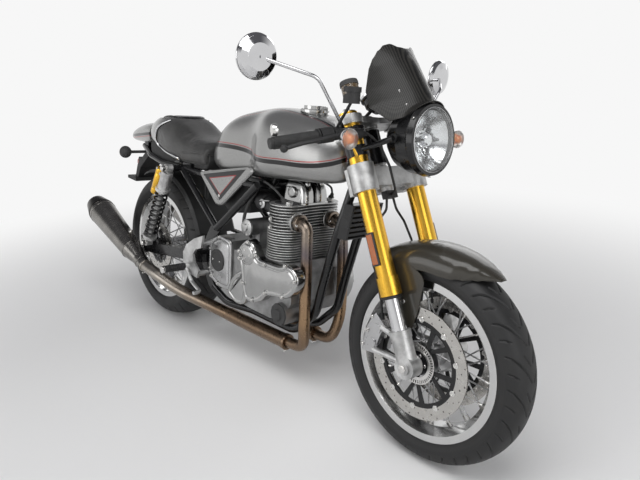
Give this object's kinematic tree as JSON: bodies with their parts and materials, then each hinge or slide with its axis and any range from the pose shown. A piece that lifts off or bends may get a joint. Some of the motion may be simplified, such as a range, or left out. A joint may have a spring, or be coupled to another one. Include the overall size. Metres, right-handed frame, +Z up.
{
  "type": "cafe racer motorcycle",
  "caption": "Cafe racer motorcycle with a finned twin engine, wire wheels, low bars and a humped seat, leaning on its side stand; steering, wheels, stand and filler cap move.",
  "frame": {"origin": "middle of the footprint's bounding box, on the ground", "axes": "+X forward along the machine, +Y to its left, +Z up; the machine leans to its left on the stand"},
  "size_m": [2.1468, 0.8693, 1.1821],
  "materials": {
    "tyre": "matte",
    "polished": "polished",
    "hub": "satin",
    "disc": "brushed",
    "steel": "satin",
    "gold": "anodised",
    "chrome": "mirror",
    "cast": "cast satin",
    "caliper": "satin",
    "black_metal": "gloss",
    "rubber": "matte",
    "black_plastic": "matte",
    "black_gloss": "gloss",
    "lens": "clear",
    "clear_lens": "clear",
    "carbon": "lacquered weave",
    "case": "matte cast",
    "fins": "matte cast",
    "bronze": "heat tinted",
    "silver": "metallic gloss",
    "leather": "grained"
  },
  "bodies": {
    "chassis": {"chain": "steel", "crankcase": "case", "cylinder_block": "fins", "cylinder_head": "fins", "footrests": "cast", "frame": "black_metal", "fuel_tank": "silver", "gearbox": "case", "header_pipes": "bronze", "intake": "black_plastic", "mufflers": "chrome", "oil_cooler": "black_metal", "primary_cover": "polished", "rear_caliper": "caliper", "rear_fender": "black_plastic", "rocker_cover": "polished", "seat_cowl": "silver", "seat_pad": "leather", "shocks": "cast", "side_covers": "silver", "springs": "black_metal", "swingarm": "black_metal", "tail_lights": "clear_lens", "timing_cover": "polished"},
    "steering": {"fork_outers": "gold", "fork_inners": "chrome", "fork_feet": "cast", "front_calipers": "caliper", "lower_clamp": "cast", "upper_clamp": "cast", "clip_ons": "black_metal", "grips": "rubber", "controls": "black_plastic", "headlamp": "black_gloss", "headlamp_lens": "lens", "lamp_brackets": "black_metal", "front_indicators": "clear_lens", "mirrors": "chrome", "fly_screen": "carbon", "front_fender": "carbon", "gauges": "black_plastic", "brake_hoses": "black_plastic"},
    "front_wheel": {"front_tyre": "tyre", "front_rim": "polished", "front_hub": "hub", "front_discs": "disc"},
    "rear_wheel": {"rear_tyre": "tyre", "rear_rim": "polished", "rear_hub": "hub", "rear_disc": "disc", "rear_sprocket": "steel"},
    "side_stand": {"side_stand": "black_metal"},
    "fuel_cap": {"fuel_cap": "polished"}
  },
  "joints": [
    {"name": "steering", "type": "hinge", "parent": "chassis", "child": "steering", "pos_m": [0.50542, -0.03812, 0.80135], "axis": [-0.4147, 0.1266, 0.9011], "range_deg": [-24, 24]},
    {"name": "front_wheel", "type": "hinge", "parent": "steering", "child": "front_wheel", "pos_m": [0.77425, -0.10871, 0.29911], "axis": [0, 0.9903, -0.1392], "continuous": true},
    {"name": "rear_wheel", "type": "hinge", "parent": "chassis", "child": "rear_wheel", "pos_m": [-0.64575, -0.10662, 0.31396], "axis": [0, 0.9903, -0.1392], "continuous": true},
    {"name": "side_stand", "type": "hinge", "parent": "chassis", "child": "side_stand", "pos_m": [-0.02777, 0.00184, 0.1947], "axis": [0.1545, 0.8026, 0.5762], "range_deg": [0, 100]},
    {"name": "fuel_cap", "type": "hinge", "parent": "chassis", "child": "fuel_cap", "pos_m": [0.26425, -0.01706, 0.95121], "axis": [0, 0.9903, -0.1392], "range_deg": [0, 100]}
  ]
}
